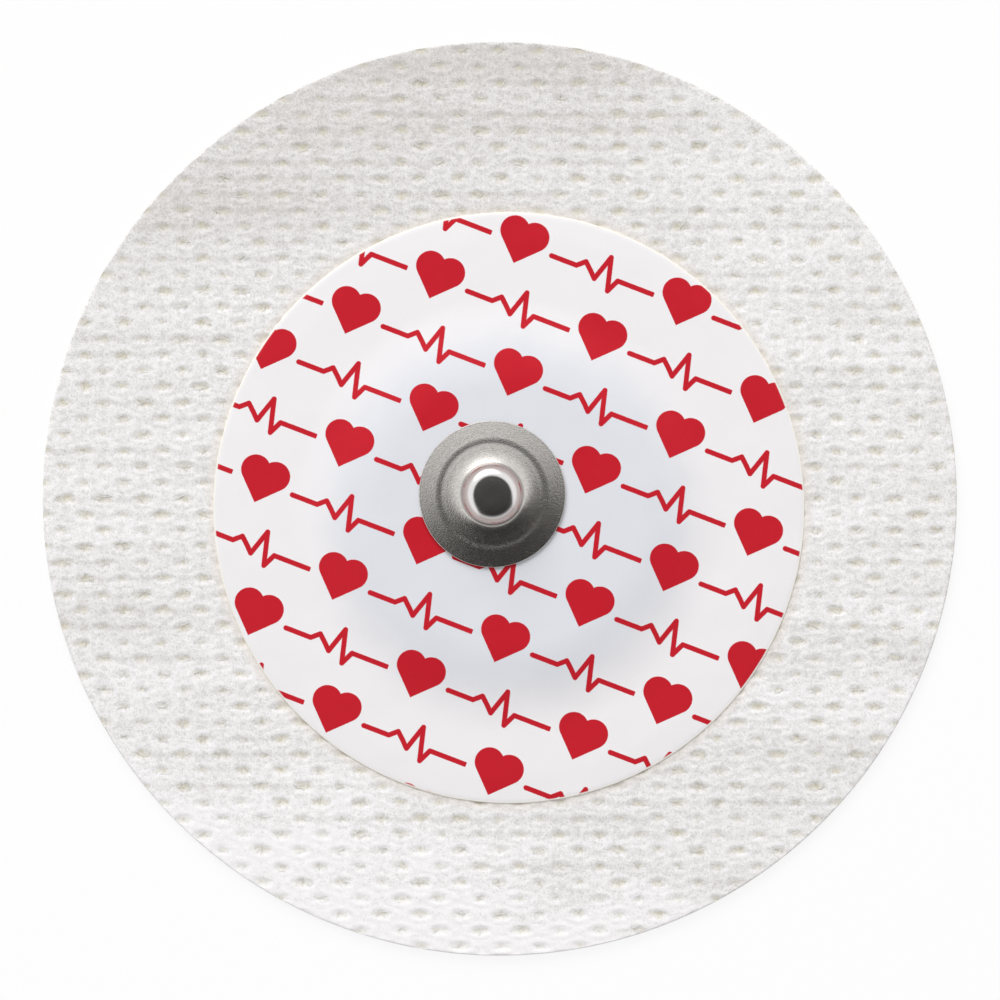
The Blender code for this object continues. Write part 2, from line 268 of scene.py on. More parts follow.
@dataclass(frozen=True)
class Grain:
    """A noise in a surface: its lumps' size in metres, its detail and roughness, and its X and Y scale."""

    size: float
    detail: float = 1.0
    rough: float = 0.5
    stretch: tuple[float, float] = (1.0, 1.0)

    def on(self, graph: Graph, place: Wire) -> Wire:
        """The noise at a place.

        Args:
            graph: the shader's or the geometry's graph.
            place: the place on the piece.

        Returns:
            The noise, from 0 to 1 and about 0.5 on average.
        """
        if self.stretch != (1.0, 1.0):
            place = graph.stretched(place, *self.stretch)
        return graph.noise(place, self.size, self.detail, self.rough)


# Sizes that several pieces share


@dataclass(frozen=True)
class Laminate:
    """Places and heights of the layers, in metres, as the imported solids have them."""

    cloth_radius: float = 30.0 * MM
    well_radius: float = 12.7 * MM
    label_radius: float = 19.4 * MM
    pad_radius: float = 8.5 * MM
    post_radius: float = 1.50 * MM
    well: tuple[float, float] = (0.50 * MM, -1.05 * MM)
    label: tuple[float, float] = (0.60 * MM, -0.60 * MM)
    stud: tuple[float, float] = (-0.50 * MM, 0.30 * MM)
    adhesive_top: float = 0.08 * MM
    cloth_bottom: float = 0.11 * MM
    cloth_top: float = 0.57 * MM
    pad_top: float = 1.20 * MM
    label_land: float = 0.60 * MM
    label_crown: float = 1.23 * MM
    label_thickness: float = 0.13 * MM
    stud_bottom: float = 1.39 * MM


class Ring(NamedTuple):
    """One circle of a loft."""

    centre: tuple[float, float]
    radius: float
    height: float


def between(first: Ring, second: Ring, count: int) -> list[Ring]:
    """Rings that pass evenly from one to another.

    Args:
        first: where they start, which is left out.
        second: where they end, which is kept.
        count: how many there are.

    Returns:
        The rings.
    """
    rings = []
    for i in range(1, count + 1):
        t = i / count
        centre = tuple(a + (b - a) * t for a, b in zip(first.centre, second.centre))
        radius = first.radius + (second.radius - first.radius) * t
        rings.append(Ring(centre, radius, first.height + (second.height - first.height) * t))
    return rings


def loft(name: str, rings: list[Ring], steps: int, closed: bool = False) -> bpy.types.Object:
    """Skins a list of rings.

    Args:
        name: the object's name.
        rings: from the top's middle outwards and down, so that the faces point outwards. A ring of no
            radius is a pole.
        steps: the number of points in each ring.
        closed: whether the last ring joins the first, as on a piece with a hole.

    Returns:
        The new object, at the origin.
    """
    bm = bmesh.new()
    loops = []
    for ring in rings:
        if ring.radius == 0:
            loops.append([bm.verts.new((*ring.centre, ring.height))] * steps)
            continue
        turn = [2 * math.pi * i / steps for i in range(steps)]
        x, y = ring.centre
        points = [(x + ring.radius * math.cos(a), y + ring.radius * math.sin(a), ring.height) for a in turn]
        loops.append([bm.verts.new(point) for point in points])
    for inner, outer in zip(loops, loops[1:] + loops[:1] if closed else loops[1:]):
        for i in range(steps):
            j = (i + 1) % steps
            corners = list(dict.fromkeys((inner[i], outer[i], outer[j], inner[j])))
            if len(corners) > 2:
                bm.faces.new(corners)
    mesh = bpy.data.meshes.new(name)
    bm.to_mesh(mesh)
    bm.free()
    mesh.shade_smooth()
    made = bpy.data.objects.new(name, mesh)
    bpy.context.scene.collection.objects.link(made)
    return made


def arc(middle: Point, radius: float, start: float, end: float, steps: int) -> list[Point]:
    """Points of an arc in a section.

    Args:
        middle: the arc's centre.
        radius: its radius.
        start: the angle at which it starts, in degrees.
        end: the angle at which it ends, in degrees.
        steps: how many stretches it has.

    Returns:
        The points, both ends among them.
    """
    turns = [math.radians(start + (end - start) * i / steps) for i in range(steps + 1)]
    return [(middle[0] + radius * math.cos(a), middle[1] + radius * math.sin(a)) for a in turns]


def eased_slope(inner: Point, outer: Point, steps: int) -> list[Point]:
    """Points of a slope in a section, level at both ends.

    Args:
        inner: where it starts.
        outer: where it ends.
        steps: how many stretches it has.

    Returns:
        The points, both ends among them.
    """
    width, drop = outer[0] - inner[0], outer[1] - inner[1]
    turns = [i / steps for i in range(steps + 1)]
    return [(inner[0] + width * t, inner[1] + drop * t * t * (3 - 2 * t)) for t in turns]


def new_material(name: str) -> tuple[bpy.types.Material, Graph]:
    """Starts a material.

    Args:
        name: its name.

    Returns:
        The empty material and the graph of its nodes.
    """
    made = bpy.data.materials.new(name)
    made.use_nodes = True
    return made, Graph(made.node_tree)


def close_surface(graph: Graph, sockets: dict[str, Any]) -> None:
    """Adds a material's shader and its output.

    Args:
        graph: the material's graph.
        sockets: the Principled shader's inputs, by name.
    """
    shader = graph.wire("ShaderNodeBsdfPrincipled", None, sockets)
    graph.node("ShaderNodeOutputMaterial", None, {"Surface": shader})


def bump(graph: Graph, height: Wire, depth: float) -> Wire:
    """A normal that makes height, from 0 to 1, stand out by depth metres."""
    return graph.wire("ShaderNodeBump", None, {"Strength": 1.0, "Distance": depth, "Height": height})


def dress(piece: bpy.types.Object, material: bpy.types.Material, slot: str, *nodes: str) -> None:
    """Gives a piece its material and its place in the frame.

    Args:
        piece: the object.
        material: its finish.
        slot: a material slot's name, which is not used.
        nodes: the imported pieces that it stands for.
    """
    piece.data.materials.clear()
    piece.data.materials.append(material)
    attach(piece, BODY)
    if nodes:
        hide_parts(*nodes)
    LOG.info("%s: %d faces", piece.name, len(piece.data.polygons))


def run_tree(piece: bpy.types.Object, tree: bpy.types.NodeTree, sizes: dict[str, Any]) -> bpy.types.Mesh:
    """Runs a geometry tree on an object.

    Args:
        piece: the object that the tree starts from.
        tree: the tree.
        sizes: values for its named inputs.

    Returns:
        The result as a plain mesh. The object is left as it was.
    """
    modifier = piece.modifiers.new("Tree", "NODES")
    modifier.node_group = tree
    for item in tree.interface.items_tree:
        if item.item_type == "SOCKET" and item.in_out == "INPUT" and item.name in sizes:
            modifier[item.identifier] = sizes[item.name]
    piece.update_tag()
    bpy.context.view_layer.update()
    graph = bpy.context.evaluated_depsgraph_get()
    mesh = bpy.data.meshes.new_from_object(piece.evaluated_get(graph))
    piece.modifiers.remove(modifier)
    return mesh


def new_geometry_tree(name: str, inputs: dict[str, str]) -> tuple[Graph, dict[str, Wire]]:
    """A geometry tree with named inputs.

    Args:
        name: the tree's name.
        inputs: the socket type of each input, by name.

    Returns:
        The graph, and a wire for each input.
    """
    tree = bpy.data.node_groups.new(name, "GeometryNodeTree")
    tree.interface.new_socket("Geometry", in_out="INPUT", socket_type="NodeSocketGeometry")
    for label, kind in inputs.items():
        tree.interface.new_socket(label, in_out="INPUT", socket_type=kind)
    tree.interface.new_socket("Geometry", in_out="OUTPUT", socket_type="NodeSocketGeometry")
    graph = Graph(tree)
    entry = graph.node("NodeGroupInput")
    return graph, {s.name: Wire(graph, s) for s in entry.outputs if s.name}


def close_geometry(graph: Graph, geometry: Wire, material: bpy.types.Material) -> None:
    """Ends a geometry tree: real meshes instead of instances, and the material.

    Args:
        graph: the tree's graph.
        geometry: what the tree has made.
        material: its finish.
    """
    real = graph.wire("GeometryNodeRealizeInstances", None, {"Geometry": geometry})
    painted = graph.wire("GeometryNodeSetMaterial", None, {"Geometry": real, "Material": material})
    graph.node("NodeGroupOutput", {"is_active_output": True}, {"Geometry": painted})


# Cloth


@dataclass(frozen=True)
class PitRows:
    """The staggered rows of oval pits that water jets leave in the cloth, in metres."""

    pitch: float = 2.60 * MM
    row_pitch: float = 1.05 * MM
    length: float = 1.26 * MM
    width: float = 0.66 * MM
    depth: float = 0.100 * MM
    wander: float = 0.10 * MM
    wander_reach: tuple[float, float] = (2.0, 1.2)
    unevenness: float = 0.30
    ragged: Grain = Grain(0.45 * MM)
    ragged_pit: float = 0.9
    ragged_net: float = 1.1
    pit_edge: tuple[float, float] = (1.05, 0.0)
    net_start: tuple[float, float] = (0.85, 1.35)
    net_end: tuple[float, float] = (2.15, 1.45)

    def share(self, graph: Graph, place: Wire, sizes: dict[str, Value]) -> tuple[Wire, Wire, Wire]:
        """How far down in its pit, and how far up on the net round it, a place is.

        Args:
            graph: the shader's or the geometry's graph.
            place: the place on the cloth.
            sizes: the sizes to use, by name, as numbers or wires.

        Returns:
            The share of the pit's depth and of the net's height, and a number that is the pit's own.
        """
        x, y, _ = graph.split(place)
        along, across = x / sizes["pitch"], y / sizes["row_pitch"]
        row = graph.math("FLOOR", across + 0.5)
        stagger = graph.math("FRACT", row / 2)
        column = graph.math("FLOOR", along - stagger + 0.5)
        draw = {"Vector": graph.join(column, row)}
        own = graph.wire("ShaderNodeTexWhiteNoise", {"noise_dimensions": "2D"}, draw, 1)
        ends, sides, size = graph.split(own)
        reach_x, reach_y = self.wander_reach
        from_middle_x = (along - stagger - column) * sizes["pitch"] + (ends - 0.5) * sizes["wander"] * reach_x
        from_middle_y = (across - row) * sizes["row_pitch"] + (sides - 0.5) * sizes["wander"] * reach_y
        ragged = self.ragged.on(graph, place) - 0.5
        oval = (from_middle_x / sizes["length"] * 2) ** 2 + (from_middle_y / sizes["width"] * 2) ** 2
        near = graph.math("SQRT", oval)
        swell = 1 + (size - 0.5) * 2 * sizes["unevenness"]
        pit = graph.fade(near / swell + ragged * self.ragged_pit, *self.pit_edge)
        level = near + ragged * self.ragged_net
        net = graph.fade(level, *self.net_start) * graph.fade(level, *self.net_end)
        return pit, net, size

    def plain_sizes(self) -> dict[str, Value]:
        """The sizes as numbers, for a shader."""
        return {
            "pitch": self.pitch,
            "row_pitch": self.row_pitch,
            "length": self.length,
            "width": self.width,
            "wander": self.wander,
            "unevenness": self.unevenness,
        }


@dataclass(frozen=True)
class ClothFinish:
    """Soft white nonwoven: a net of fibres on a darker mat, tinted and given painted shade in its pits.
    A painted shadow lies round the label's edge, and painted shade and light towards the disc's two ends.

    A field that ends in white says how much its part adds between the mat's colour and the fibre's.
    """

    mat: Colour = (0.625, 0.60, 0.58)
    fibre: Colour = (0.98, 0.962, 0.968)
    # Pit colour: partly the mat's own olive tan, partly painted shade in the pits.
    pit: Colour = (0.62, 0.58, 0.44)
    # Painted shadow: the tan of the band on the cloth just outside the label's edge.
    label_edge_shadow: Colour = (0.74, 0.66, 0.56)
    roughness: float = 0.92
    sheen: float = 0.15
    sheen_roughness: float = 0.6
    plain_white: float = 0.45
    loop: Grain = Grain(0.55 * MM, 1.5, 0.45)
    loop_slimness: float = 26.0
    loop_layers: int = 5
    layer_step: float = 13.0 * MM
    loop_white: float = 0.44
    net_white: float = 0.10
    lump: Grain = Grain(0.22 * MM, 3.0, 0.7)
    lump_white: float = 0.75
    lump_rise: float = 0.03 * MM
    speck: Grain = Grain(0.13 * MM)
    speck_white: float = 0.75
    hollow: tuple[float, float] = (0.46, 0.70)
    hollow_white: float = 0.16
    cloud: Grain = Grain(2.2 * MM, 2.0, stretch=(0.3, 1.0))
    cloud_white: float = 0.45
    cloud_reach: float = 9.0 * MM
    band: Grain = Grain(3.4 * MM, stretch=(0.06, 1.0))
    band_white: float = 0.6
    trough: Grain = Grain(1.6 * MM, stretch=(0.15, 1.0))
    trough_patches: tuple[float, float] = (0.42, 0.62)
    trough_width: float = 0.34 * MM
    trough_white: float = 0.28
    # Painted shade makes the disc darker towards its top end, and painted light makes it lighter towards its
    # bottom end.
    dim_way: float = 104.0
    dim_reach: tuple[float, float] = (14.0 * MM, 28.0 * MM)
    dim_white: float = 0.45
    bright_way: float = 258.0
    bright_reach: tuple[float, float] = (21.0 * MM, 30.0 * MM)
    bright_white: float = 0.58
    upper_face: tuple[float, float] = (0.10 * MM, 0.20 * MM)
    least_tint: float = 0.58
    lump_tint: float = 0.20
    fibre_cover: float = 0.55
    bright_cover: float = 0.4
    edge_shadow_reach: float = 0.75 * MM
    edge_shadow_wander: float = 0.5 * MM
    edge_shadow_share: float = 0.42
    rows: PitRows = PitRows()

    def fibres(self, graph: Graph, flat: Wire) -> Wire:
        """Fine looping fibres in several layers: the level lines of a noise in each.

        Args:
            graph: the cloth's graph.
            flat: the place on the cloth.

        Returns:
            1 on a fibre's middle and 0 between the fibres.
        """
        made: Optional[Wire] = None
        for layer in range(1, self.loop_layers + 1):
            level = self.loop.on(graph, graph.vector_math("ADD", flat, (0, 0, self.layer_step * layer)))
            line = 1 - abs(level - 0.5) * self.loop_slimness
            made = line if made is None else graph.math("MAXIMUM", made, line)
        return graph.clamp(made)

    def troughs(self, graph: Graph, flat: Wire) -> Wire:
        """Faint streaks along the rows, from pit to pit, here and there.

        Args:
            graph: the cloth's graph.
            flat: the place on the cloth.

        Returns:
            1 in the middle of a streak and 0 outside.
        """
        _, y, _ = graph.split(flat)
        aside = abs(graph.math("FRACT", y / self.rows.row_pitch + 0.5) - 0.5) * self.rows.row_pitch
        patches = graph.fade(self.trough.on(graph, flat), *self.trough_patches)
        return graph.fade(aside, self.trough_width, 0.0) * patches

    def end(self, graph: Graph, flat: Wire, way: float, reach: tuple[float, float], clouds: Wire) -> Wire:
        """One end of the disc, with a cloudy border.

        Args:
            graph: the cloth's graph.
            flat: the place on the cloth.
            way: the direction of that end from the middle, in degrees.
            reach: how far out it begins, and how far out it is complete.
            clouds: the noise that blurs its border.

        Returns:
            0 in the middle and 1 at the end.
        """
        out, _, _ = graph.split(graph.turned(flat, -way))
        return graph.fade(out + (clouds - 0.5) * self.cloud_reach, *reach)

    def build(self, name: str, layers: Laminate) -> bpy.types.Material:
        """The cloth's material.

        Args:
            name: the material's name.
            layers: the laminate's sizes.

        Returns:
            The material.
        """
        material, graph = new_material(name)
        place = graph.place()
        flat = graph.flat(place)
        pit, net, own = self.rows.share(graph, flat, self.rows.plain_sizes())
        fibres = self.fibres(graph, flat)
        lumps = self.lump.on(graph, flat)
        specks = self.speck.on(graph, flat)
        clouds = self.cloud.on(graph, flat)
        bands = self.band.on(graph, flat)
        # Painted shade towards the disc's top end, and painted light towards its bottom end.
        dimmer_end = self.end(graph, flat, self.dim_way, self.dim_reach, clouds)
        full = self.end(graph, flat, self.bright_way, self.bright_reach, clouds)

        white = self.plain_white + fibres * self.loop_white + net * self.net_white
        white = white + (lumps - 0.5) * self.lump_white + (specks - 0.5) * self.speck_white
        white = white + (clouds - 0.5) * self.cloud_white + (bands - 0.5) * self.band_white
        white = white + full * self.bright_white - dimmer_end * self.dim_white
        white = graph.clamp(white - self.troughs(graph, flat) * self.trough_white)
        white = white - graph.fade(lumps, *self.hollow) * self.hollow_white
        colour = graph.mix(white, self.mat, self.fibre)

        _, _, height = graph.split(place)
        # The pits' colour: partly the mat's own tan, partly painted shade in place of the shade in the pits.
        pit_tint_and_shade = pit * (self.least_tint + own * (1 - self.least_tint))
        pit_tint_and_shade = graph.clamp(pit_tint_and_shade + (lumps - 0.5) * self.lump_tint)
        # The pits' colour fades out towards the painted light at the bottom end.
        pit_tint_and_shade = pit_tint_and_shade * (1 - fibres * self.fibre_cover) * (1 - full * self.bright_cover)
        pit_tint_and_shade = pit_tint_and_shade * graph.fade(height, *self.upper_face)
        colour = graph.mix(pit_tint_and_shade, colour, self.pit)

        # Painted shadow: a tan band on the cloth round the label's edge, with a wandering border.
        edge = graph.distance(place, *layers.label) + (lumps - 0.5) * self.edge_shadow_wander
        edge_shadow = graph.fade(edge, layers.label_radius + self.edge_shadow_reach, layers.label_radius)
        close_surface(
            graph,
            {
                "Base Color": graph.mix(edge_shadow * self.edge_shadow_share, colour, self.label_edge_shadow),
                "Roughness": self.roughness,
                "Sheen Weight": self.sheen,
                "Sheen Roughness": self.sheen_roughness,
                "Normal": bump(graph, lumps, self.lump_rise),
            },
        )
        return material


@dataclass(frozen=True)
class StrandFinish:
    """White polyester fibre."""

    colour: Colour = (0.95, 0.945, 0.94)
    shade: float = 0.9
    roughness: float = 0.55
    sheen: float = 0.2
    cloud: Grain = Grain(0.8 * MM)

    def build(self, name: str) -> bpy.types.Material:
        """The loose fibres' material.

        Args:
            name: the material's name.

        Returns:
            The material.
        """
        material, graph = new_material(name)
        clouds = self.cloud.on(graph, graph.place())
        colour = graph.mix(clouds, self.colour, shaded(self.colour, self.shade))
        close_surface(graph, {"Base Color": colour, "Roughness": self.roughness, "Sheen Weight": self.sheen})
        return material


@dataclass
class ClothBacking:
    """The pitted cloth disc, and the loose fibres on it."""

    layers: Laminate
    finish: ClothFinish = field(default_factory=ClothFinish)
    strand_finish: StrandFinish = field(default_factory=StrandFinish)
    steps: int = 1000
    open_rings: int = 74
    under_label: float = 0.4 * MM
    edge_round: float = 0.09 * MM
    nap: float = 0.035 * MM
    nap_lump: Grain = Grain(0.55 * MM, 2.0, 0.6)
    net_rise: float = 0.04 * MM
    least_depth: float = 0.75
    own_depth: float = 0.35
    fibre_density: float = 3.6e6
    fibre_radius: float = 0.016 * MM
    fibre_reach: float = 1.05 * MM
    fibre_bow: float = 0.22
    fibre_arch: tuple[float, float] = (-0.03, 0.035)
    fibre_tilt: float = 0.03
    fibre_scale: tuple[float, float] = (0.45, 1.25)
    strewing_seed: int = 11
    scale_seed: int = 5

    def rings(self) -> list[Ring]:
        """The flat disc's rings.

        Returns:
            The rings, from the well's edge outwards over the top and back under.
        """
        lay = self.layers
        top, bottom, edge = lay.cloth_top, lay.cloth_bottom, self.edge_round
        rings = [Ring(lay.well, lay.well_radius, top)]
        rings += between(rings[-1], Ring(lay.label, lay.label_radius - self.under_label, top), 4)
        rings += between(rings[-1], Ring((0, 0), lay.cloth_radius - edge, top), self.open_rings)
        section = arc((lay.cloth_radius - edge, top - edge), edge, 60, 0, 2)
        section += [(lay.cloth_radius, bottom + edge / 2), (lay.cloth_radius - edge / 2, bottom)]
        rings += [Ring((0, 0), radius, height) for radius, height in section]
        rings += between(rings[-1], Ring(lay.well, lay.well_radius, bottom), 6)
        return rings

    def pit_tree(self, material: bpy.types.Material) -> bpy.types.NodeTree:
        """The tree that sinks the rows of pits and raises the nap on the cloth's upper face.

        Args:
            material: the cloth's finish.

        Returns:
            The tree, whose inputs are the sizes of the pits and of the nap.
        """
        names = (*self.finish.rows.plain_sizes(), "depth", "net_rise", "nap", "top")
        sizes = dict.fromkeys(names, "NodeSocketFloat")
        graph, wires = new_geometry_tree("cloth_pits", sizes)
        place = graph.wire("GeometryNodeInputPosition")
        _, _, height = graph.split(place)
        flat = graph.flat(place)
        pit, net, own = self.finish.rows.share(graph, flat, wires)
        nap = (self.nap_lump.on(graph, flat) - 0.5) * wires["nap"] + net * wires["net_rise"]
        rise = nap - pit * wires["depth"] * (self.least_depth + own * self.own_depth)
        offset = graph.join(0.0, 0.0, rise * (height > wires["top"]))
        moved = graph.wire("GeometryNodeSetPosition", None, {"Geometry": wires["Geometry"], "Offset": offset})
        close_geometry(graph, moved, material)
        return graph.tree

    def strand(self, graph: Graph, reach: Wire, radius: Wire) -> Wire:
        """One loose fibre, a thin bent tube along X.

        Args:
            graph: the fibres' graph.
            reach: how long it is.
            radius: how thick it is.

        Returns:
            The tube's geometry.
        """
        ends, middle = self.fibre_arch
        curve = {
            "Resolution": 5,
            "Start": graph.join(reach * -0.5, 0.0, reach * ends),
            "Middle": graph.join(0.0, reach * self.fibre_bow, reach * middle),
            "End": graph.join(reach * 0.5, 0.0, reach * ends),
        }
        line = graph.wire("GeometryNodeCurveQuadraticBezier", None, curve)
        section = graph.wire("GeometryNodeCurvePrimitiveCircle", None, {"Resolution": 3, "Radius": radius})
        skin = {"Curve": line, "Profile Curve": section, "Fill Caps": True}
        return graph.wire("GeometryNodeCurveToMesh", None, skin)

    def fibre_tree(self, material: bpy.types.Material) -> bpy.types.NodeTree:
        """The tree that strews short bent fibres over the open ring of the cloth.

        Args:
            material: the fibres' finish.

        Returns:
            The tree, whose inputs are how many fibres there are, their sizes, the ring's and the seed.
        """
        kinds = dict.fromkeys(("density", "reach", "radius", "top", "inner", "outer"), "NodeSocketFloat")
        graph, wires = new_geometry_tree("cloth_fibres", {**kinds, "seed": "NodeSocketInt"})
        place = graph.wire("GeometryNodeInputPosition")
        x, y, height = graph.split(place)
        past_label = graph.distance(place, *self.layers.label) > wires["inner"]
        within = graph.distance(place, 0, 0) < wires["outer"]
        strewing = {
            "Mesh": wires["Geometry"],
            "Selection": past_label * within * (height > wires["top"] * 0.5),
            "Density": wires["density"],
            "Seed": wires["seed"],
        }
        strewn = graph.wire("GeometryNodeDistributePointsOnFaces", {"distribute_method": "RANDOM"}, strewing)
        lifted = {"Geometry": strewn, "Position": graph.join(x, y, wires["top"])}
        raised = graph.wire("GeometryNodeSetPosition", None, lifted)
        tilt = self.fibre_tilt
        turns = {0: (-tilt, -tilt, -math.pi), 1: (tilt, tilt, math.pi), "Seed": wires["seed"]}
        turn = graph.wire("FunctionNodeRandomValue", {"data_type": "FLOAT_VECTOR"}, turns)
        least, most = self.fibre_scale
        scales = {2: least, 3: most, "Seed": self.scale_seed}
        scale = graph.wire("FunctionNodeRandomValue", {"data_type": "FLOAT"}, scales, 1)
        laying = {
            "Points": raised,
            "Instance": self.strand(graph, wires["reach"], wires["radius"]),
            "Rotation": turn,
            "Scale": graph.join(scale, scale, 1.0),
        }
        close_geometry(graph, graph.wire("GeometryNodeInstanceOnPoints", None, laying), material)
        return graph.tree

    def build(self) -> None:
        """Makes the cloth and its fibres in place of the plain disc."""
        lay = self.layers
        finish = self.finish.build("white_nonwoven_cloth", lay)
        strand_finish = self.strand_finish.build("white_loose_fibre")
        cloth = loft("cloth_backing_pitted", self.rings(), self.steps, closed=True)
        sizes = {
            **self.finish.rows.plain_sizes(),
            "depth": self.finish.rows.depth,
            "net_rise": self.net_rise,
            "nap": self.nap,
            "top": lay.cloth_top - self.edge_round / 4,
        }
        cloth.data = run_tree(cloth, self.pit_tree(finish), sizes)
        cloth.data.shade_smooth()

        strands = bpy.data.objects.new("cloth_loose_fibres", cloth.data)
        bpy.context.scene.collection.objects.link(strands)
        strewing = {
            "density": self.fibre_density,
            "reach": self.fibre_reach,
            "radius": self.fibre_radius,
            "top": lay.cloth_top,
            "inner": lay.label_radius + self.fibre_reach / 2,
            "outer": lay.cloth_radius - self.fibre_reach / 2,
            "seed": self.strewing_seed,
        }
        strands.data = run_tree(strands, self.fibre_tree(strand_finish), strewing)
        strands.data.shade_smooth()

        dress(cloth, finish, "nonwoven_cloth", "cloth_backing")
        dress(strands, strand_finish, "nonwoven_cloth")


# Skin adhesive


@dataclass(frozen=True)
class AdhesiveFinish:
    """A tacky, nearly clear coat, through which the cloth shows.

    A field that starts with pull or pit says how much the coat's pulled streaks or the cloth's pits change
    what the name ends with.
    """

    colour: Colour = (0.80, 0.78, 0.70)
    shade: float = 0.72
    roughness: float = 0.28
    clearness: float = 0.45
    rise: float = 0.05 * MM
    pull: Grain = Grain(0.8 * MM, 3.0, 0.6, stretch=(1.0, 0.45))
    plain_streak: float = 0.25
    pull_streak: float = 1.6
    pit_streak: float = 0.5
    pull_roughness: float = 0.25
    pull_cover: float = 0.2
    pull_rise: float = 0.6
    pit_rise: float = 0.4
    rows: PitRows = PitRows()

    def build(self, name: str) -> bpy.types.Material:
        """The adhesive's material.

        Args:
            name: the material's name.

        Returns:
            The material.
        """
        material, graph = new_material(name)
        place = graph.place()
        pulled = self.pull.on(graph, place)
        pit, _, _ = self.rows.share(graph, graph.flat(place), self.rows.plain_sizes())
        streaks = graph.clamp((pulled - 0.5) * self.pull_streak + pit * self.pit_streak + self.plain_streak)
        close_surface(
            graph,
            {
                "Base Color": graph.mix(streaks, self.colour, shaded(self.colour, self.shade)),
                "Roughness": self.roughness + (pulled - 0.5) * self.pull_roughness,
                "Alpha": 1 - self.clearness + (pulled - 0.5) * self.pull_cover,
                "Normal": bump(graph, pulled * self.pull_rise - pit * self.pit_rise, self.rise),
            },
        )
        return material


@dataclass
class SkinAdhesive:
    """The coat on the cloth's skin side."""

    layers: Laminate
    finish: AdhesiveFinish = field(default_factory=AdhesiveFinish)
    steps: int = 256

    def build(self) -> None:
        """Makes the coat, a flat ring whose edge is drawn in a little from the cloth's."""
        lay = self.layers
        edge = lay.adhesive_top / 2
        inner, outer = lay.well_radius + edge, lay.cloth_radius - edge
        rings = [Ring(lay.well, inner, lay.adhesive_top)]
        rings += between(rings[-1], Ring((0, 0), outer, lay.adhesive_top), 12)
        rings += [Ring((0, 0), lay.cloth_radius, edge), Ring((0, 0), outer, 0.0)]
        rings += between(rings[-1], Ring(lay.well, inner, 0.0), 12)
        rings.append(Ring(lay.well, lay.well_radius, edge))
        coat = loft("skin_adhesive_coat", rings, self.steps, closed=True)
        dress(coat, self.finish.build("clear_skin_adhesive"), "clear_adhesive", "skin_adhesive")


# Label


@dataclass(frozen=True)
class HeartPrint:
    """Rows of hearts with a heartbeat trace between them, in metres."""

    row_turn: float = -21.0
    row_pitch: float = 4.15 * MM
    motif_pitch: float = 11.4 * MM
    heart_size: float = 2.75 * MM
    heart_drop: float = 0.12 * MM
    trace_start: float = 2.15 * MM
    trace_drop: float = 0.15 * MM
    trace_width: float = 0.34 * MM
    row_shift: float = 0.38
    heart_share: float = 0.18
    edge: Grain = Grain(0.10 * MM)
    edge_wander: float = 0.03 * MM
    edge_blur: float = 0.025 * MM
    trace: tuple[tuple[float, float], ...] = (
        (0.0, 0.0),
        (1.75, 0.0),
        (2.25, 0.45),
        (2.75, 0.0),
        (3.15, -0.40),
        (3.70, 1.30),
        (4.25, -0.85),
        (4.65, 0.0),
        (7.10, 0.0),
    )

    def heart(self, graph: Graph, x: Wire, y: Wire) -> Wire:
        """A heart about the origin: a square on its corner, with a half disc on each upper side.

        Args:
            graph: the film's graph.
            x: the place along the heart's width.
            y: the place along its height.

        Returns:
            How far the place is outside it, in hearts.
        """
        x, y = abs(x / self.heart_size), y / self.heart_size
        lobe = graph.math("SQRT", (x - 0.25) ** 2 + (y - 0.25) ** 2) - math.sqrt(2) / 4
        point = (x + abs(y) - 0.5) * math.sqrt(0.5)
        return graph.math("MINIMUM", lobe, point)

    def stroke(self, graph: Graph, place: Wire) -> Wire:
        """The trace of heartbeats.

        Args:
            graph: the film's graph.
            place: the place, from the trace's start.

        Returns:
            How far the place is from the trace, in metres.
        """
        found: Optional[Wire] = None
        for start, end in zip(self.trace, self.trace[1:]):
            start, end = Vector((*start, 0)) * MM, Vector((*end, 0)) * MM
            run = end - start
            aside = graph.vector_math("SUBTRACT", place, tuple(start))
            along = graph.vector_math("DOT_PRODUCT", aside, tuple(run), output="Value")
            foot = graph.clamp(along / run.length_squared)
            scaled = {"Vector": tuple(run), "Scale": foot}
            reach = graph.wire("ShaderNodeVectorMath", {"operation": "SCALE"}, scaled)
            far = graph.vector_math("LENGTH", graph.vector_math("SUBTRACT", aside, reach), output="Value")
            found = far if found is None else graph.math("MINIMUM", found, far)
        return found

    def ink(self, graph: Graph, place: Wire) -> Wire:
        """1 where the label is inked, and 0 where it is bare.

        Args:
            graph: the film's graph.
            place: the place on the film, from the label's middle.

        Returns:
            The share of ink.
        """
        x, y, _ = graph.split(graph.turned(place, -self.row_turn))
        across = y / self.row_pitch
        row = graph.math("FLOOR", across + 0.5)
        shifted = x / self.motif_pitch - row * self.row_shift
        column = graph.math("FLOOR", shifted + self.heart_share)
        x, y = (shifted - column) * self.motif_pitch, (across - row) * self.row_pitch
        edge = (self.edge.on(graph, place) - 0.5) * self.edge_wander
        heart = self.heart(graph, x, y + self.heart_drop) * self.heart_size
        from_start = graph.join(x - self.trace_start, y + self.trace_drop)
        trace = self.stroke(graph, from_start) - self.trace_width / 2
        return graph.fade(graph.math("MINIMUM", heart, trace) + edge, self.edge_blur, -self.edge_blur)


